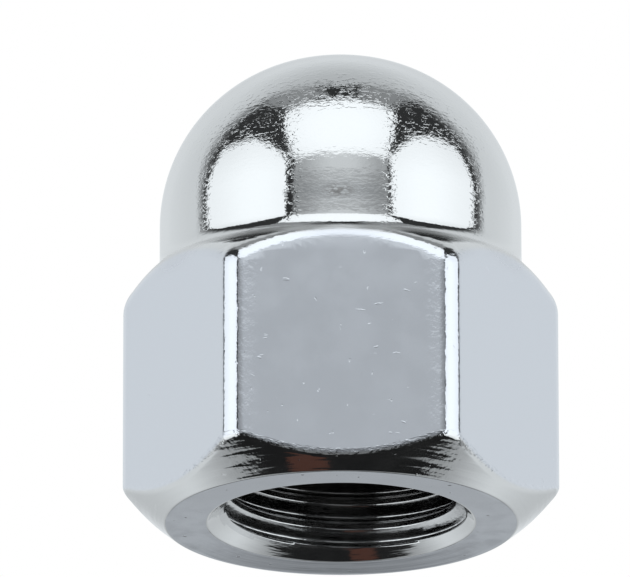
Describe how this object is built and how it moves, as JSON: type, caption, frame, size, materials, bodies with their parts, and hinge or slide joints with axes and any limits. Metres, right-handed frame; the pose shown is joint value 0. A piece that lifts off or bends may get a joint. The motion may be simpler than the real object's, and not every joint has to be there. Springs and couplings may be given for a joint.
{
  "type": "cap nut",
  "caption": "Domed cap nut: chamfered hexagon with a blind threaded hole, a short neck and a rounded dome, in one piece.",
  "frame": {"origin": "centre of the flat seat round the hole's mouth, on the thread's axis", "axes": "+Z along the thread from the seat to the top of the dome; two flats face +Y and -Y, two corners point along X"},
  "size_m": [0.0218, 0.019, 0.0239],
  "materials": {
    "chrome_plate": "polished chrome plate on steel, with fine draw and turning marks, small scratches and pits"
  },
  "bodies": {
    "root": {"cap_nut": "chrome_plate"}
  },
  "joints": []
}
